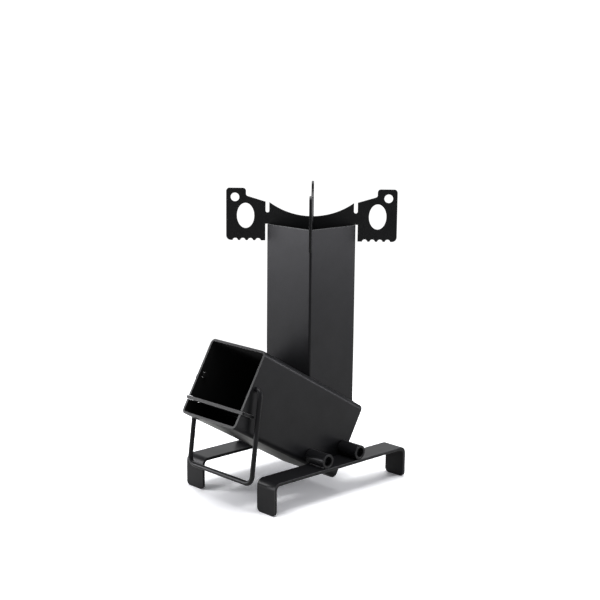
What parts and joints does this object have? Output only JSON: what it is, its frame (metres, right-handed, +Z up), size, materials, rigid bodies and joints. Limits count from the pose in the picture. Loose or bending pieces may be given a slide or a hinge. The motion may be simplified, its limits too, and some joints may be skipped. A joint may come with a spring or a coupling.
{
  "type": "rocket stove",
  "caption": "Black steel rocket stove: inclined square feed tube with a fuel shelf and wire bail, upright square chimney, crossed-plate pot stand and slip-on bar feet.",
  "frame": {"origin": "centre of the footprint box on the floor, on the mirror plane, at the level the feet stand on", "axes": "+Z up along the chimney; -Y the way the feed tube's mouth faces; +X to the right seen from the mouth side"},
  "size_m": [0.166, 0.2664, 0.377],
  "materials": {
    "tube_powder_coat": "satin",
    "rod_powder_coat": "satin",
    "plate_powder_coat": "satin",
    "foot_powder_coat": "satin"
  },
  "bodies": {
    "body": {"feed_tube": "tube_powder_coat", "end_plate": "tube_powder_coat", "chimney_tube": "tube_powder_coat", "shelf_rod": "rod_powder_coat", "front_cross_rod": "rod_powder_coat", "rear_cross_rod": "rod_powder_coat"},
    "shelf": {"fuel_shelf": "plate_powder_coat"},
    "bail": {"wire_bail": "rod_powder_coat"},
    "left_foot": {"left_foot_bar": "foot_powder_coat", "left_front_sleeve": "foot_powder_coat", "left_rear_sleeve": "foot_powder_coat"},
    "right_foot": {"right_foot_bar": "foot_powder_coat", "right_front_sleeve": "foot_powder_coat", "right_rear_sleeve": "foot_powder_coat"},
    "lower_plate": {"pot_plate_lower": "plate_powder_coat"},
    "upper_plate": {"pot_plate_upper": "plate_powder_coat"}
  },
  "joints": [
    {"name": "shelf_slide", "type": "slide", "parent": "body", "child": "shelf", "axis": [0, -0.8988, 0.4384], "range_m": [0, 0.065]},
    {"name": "bail_swing", "type": "hinge", "parent": "body", "child": "bail", "pos_m": [0, -0.09927, 0.15076], "axis": [-1, 0, 0], "range_deg": [-5, 226]},
    {"name": "left_foot_slide", "type": "slide", "parent": "body", "child": "left_foot", "axis": [-1, 0, 0], "range_m": [0, 0.035]},
    {"name": "right_foot_slide", "type": "slide", "parent": "body", "child": "right_foot", "axis": [1, 0, 0], "range_m": [0, 0.035]},
    {"name": "pot_stand_lift", "type": "slide", "parent": "body", "child": "lower_plate", "axis": [0, 0, 1], "range_m": [0, 0.04]},
    {"name": "upper_plate_lift", "type": "slide", "parent": "lower_plate", "child": "upper_plate", "axis": [0, 0, 1], "range_m": [0, 0.04]}
  ]
}
